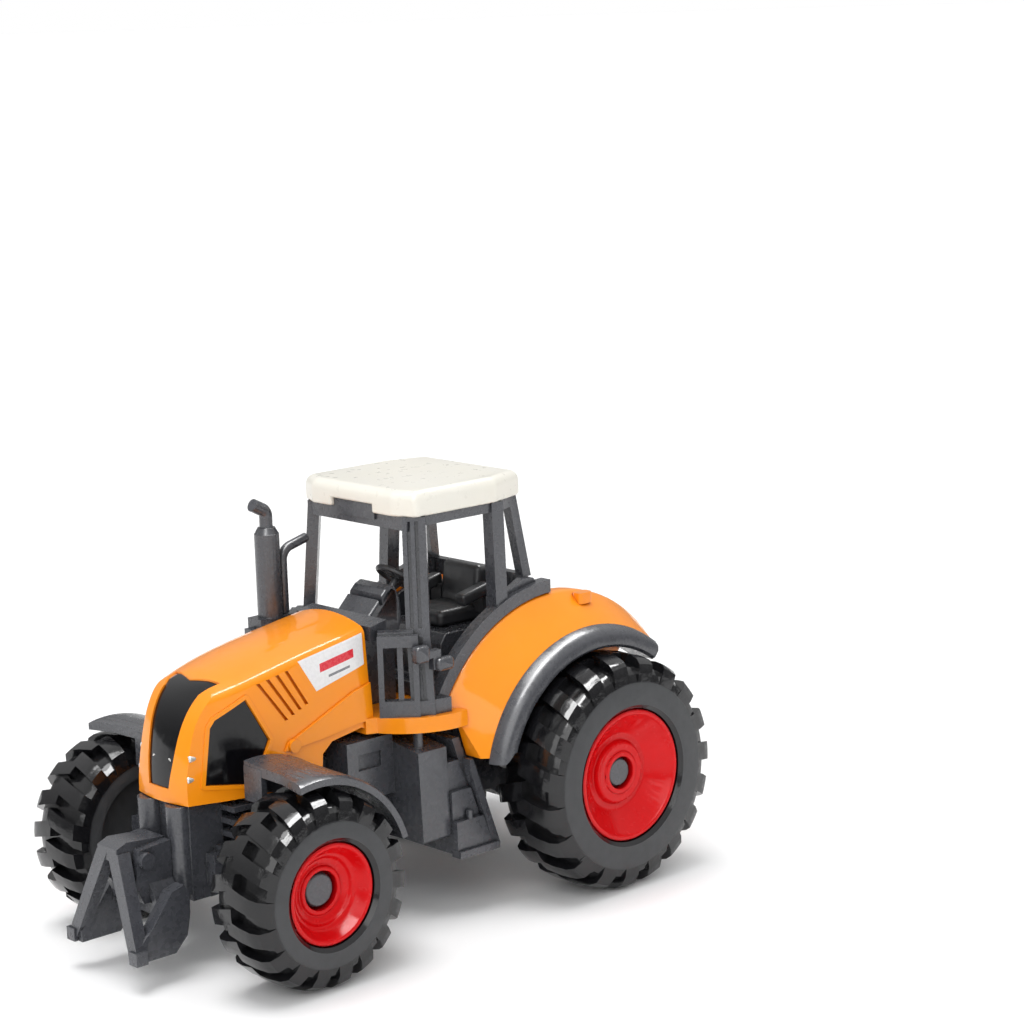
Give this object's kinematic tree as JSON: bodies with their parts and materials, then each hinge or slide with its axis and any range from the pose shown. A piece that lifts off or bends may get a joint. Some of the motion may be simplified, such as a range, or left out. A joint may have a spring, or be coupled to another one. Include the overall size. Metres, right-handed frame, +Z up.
{
  "type": "toy tractor",
  "caption": "Die-cast toy farm tractor with an open cab frame, stepped side tanks, lugged tyres on rolling axles, a fixed front linkage and a rear tow pin.",
  "frame": {"origin": "under the middle of the toy, on the ground", "axes": "+X forward, +Y to the tractor's left, +Z up"},
  "size_m": [0.091, 0.0526, 0.0606],
  "materials": {
    "orange_paint": "gloss enamel on a casting",
    "grey_plastic": "dark grey satin moulding",
    "black_gloss": "gloss black",
    "black_plastic": "satin black moulding",
    "label": "plain white printed label",
    "roof_white": "cream white gloss moulding",
    "lamp_silver": "silver paint",
    "tyre": "black rubbery plastic with glossy lugs",
    "red_rim": "gloss red moulding",
    "steel": "plain steel rod and screws"
  },
  "bodies": {
    "tractor": {"arch_trim_left": "grey_plastic", "arch_trim_right": "grey_plastic", "body_screws": "steel", "body_shell": "orange_paint", "cab_frame": "grey_plastic", "chassis": "grey_plastic", "corner_lamps_left": "lamp_silver", "corner_lamps_right": "lamp_silver", "dashboard": "grey_plastic", "door_mirror_left": "grey_plastic", "door_mirror_right": "grey_plastic", "exhaust_stack": "grey_plastic", "front_fender_left": "grey_plastic", "front_fender_right": "grey_plastic", "front_linkage": "grey_plastic", "grille_lamps": "lamp_silver", "grille_panel": "black_gloss", "hood_label_left": "label", "hood_label_right": "label", "intake_pipe": "grey_plastic", "rear_hitch": "grey_plastic", "roof_panel": "roof_white", "seat": "black_plastic", "seat_pedestal": "grey_plastic", "side_tank_left": "grey_plastic", "side_tank_right": "grey_plastic", "steering_wheel": "black_plastic", "step_unit_left": "grey_plastic", "step_unit_right": "grey_plastic", "tow_pin": "grey_plastic", "vent_panel_left": "black_gloss", "vent_panel_right": "black_gloss"},
    "front_wheels": {"front_axle": "steel", "front_hub_cap_left": "grey_plastic", "front_hub_cap_right": "grey_plastic", "front_rim_left": "red_rim", "front_rim_right": "red_rim", "front_tyre_left": "tyre", "front_tyre_right": "tyre"},
    "rear_wheels": {"rear_axle": "steel", "rear_hub_cap_left": "grey_plastic", "rear_hub_cap_right": "grey_plastic", "rear_rim_left": "red_rim", "rear_rim_right": "red_rim", "rear_tyre_left": "tyre", "rear_tyre_right": "tyre"}
  },
  "joints": [
    {"name": "front_wheels_spin", "type": "hinge", "parent": "tractor", "child": "front_wheels", "pos_m": [0.0265, 0, 0.0132], "axis": [0, 1, 0], "continuous": true},
    {"name": "rear_wheels_spin", "type": "hinge", "parent": "tractor", "child": "rear_wheels", "pos_m": [-0.0285, 0, 0.017], "axis": [0, 1, 0], "continuous": true}
  ]
}
